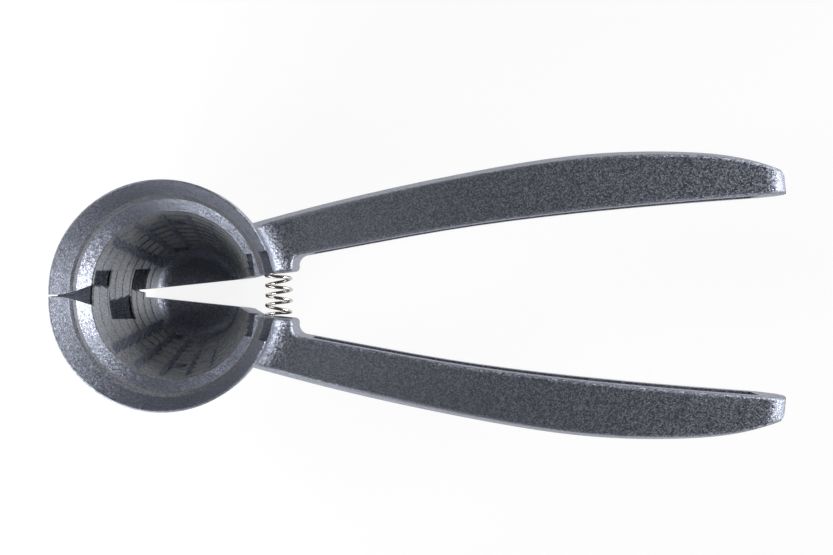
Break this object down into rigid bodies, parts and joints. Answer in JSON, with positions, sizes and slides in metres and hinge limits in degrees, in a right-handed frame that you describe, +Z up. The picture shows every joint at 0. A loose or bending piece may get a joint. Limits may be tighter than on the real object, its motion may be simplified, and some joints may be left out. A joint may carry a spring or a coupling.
{
  "type": "nut cracker",
  "caption": "Hand-squeezed nut cracker: two hinged levers whose jaws are the halves of a stepped, toothed cone, opened by a coil spring.",
  "frame": {"origin": "middle of the open tool's length and width, at the foot of the cone", "axes": "+X from the hinge towards the handle ends, +Z up out of the mouth of the cone, +Y towards the upper lever"},
  "size_m": [0.1998, 0.078, 0.05],
  "materials": {
    "coated_casting": "dark grey non-stick coating with metal flake over die-cast aluminium",
    "pin_steel": "ground steel",
    "spring_steel": "bright drawn spring steel"
  },
  "bodies": {
    "lower_lever": {"lower_lever": "coated_casting", "hinge_pin": "pin_steel", "return_spring": "spring_steel"},
    "upper_lever": {"upper_lever": "coated_casting"}
  },
  "joints": [
    {"name": "lever_hinge", "type": "hinge", "parent": "lower_lever", "child": "upper_lever", "pos_m": [-0.09316, 0, 0.025], "axis": [0, 0, 1], "range_deg": [-11.8, 0], "stiffness_Nm_per_rad": 4, "springref_deg": 2.86, "deforming": ["return_spring"]}
  ]
}
